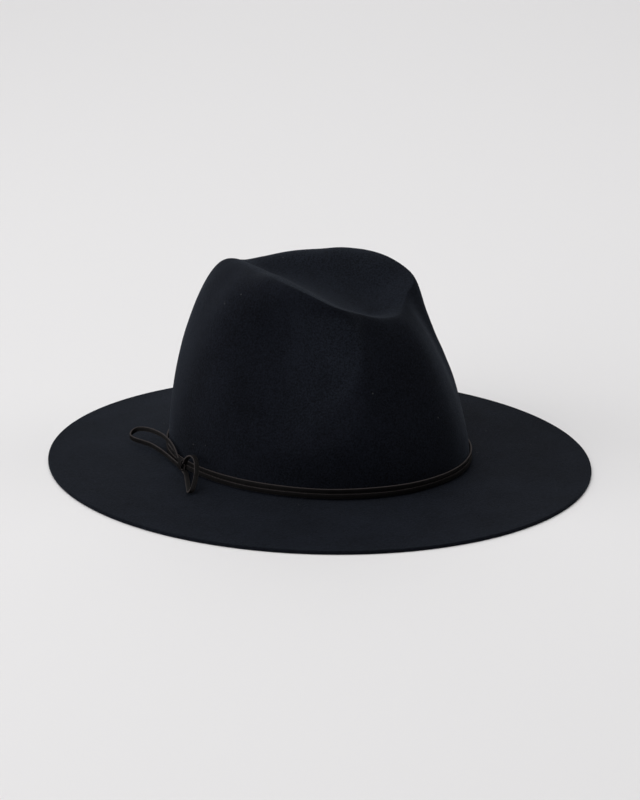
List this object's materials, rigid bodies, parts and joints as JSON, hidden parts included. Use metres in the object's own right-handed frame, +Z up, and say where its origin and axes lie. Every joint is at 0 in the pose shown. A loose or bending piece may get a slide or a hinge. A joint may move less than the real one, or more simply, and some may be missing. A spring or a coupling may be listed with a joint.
{
  "type": "felt hat with a lace band and bow",
  "caption": "Wide flat-brimmed felt hat with a creased, side-dented crown and a narrow double lace band tied in a small bow.",
  "frame": {"origin": "middle of the brim on the surface that the brim edge rests on", "axes": "-Y towards the front of the hat, +X towards the wearer's left, +Z up through the crown"},
  "size_m": [0.3334, 0.36, 0.1323],
  "materials": {
    "felt": "matte brushed wool felt, near-black navy",
    "lace": "flat suede lace, brownish black, matte"
  },
  "bodies": {
    "root": {"felt_body": "felt", "band_lace_lower": "lace", "band_lace_upper": "lace", "bow_knot": "lace", "bow_loop_back": "lace", "bow_loop_front": "lace"}
  },
  "joints": []
}
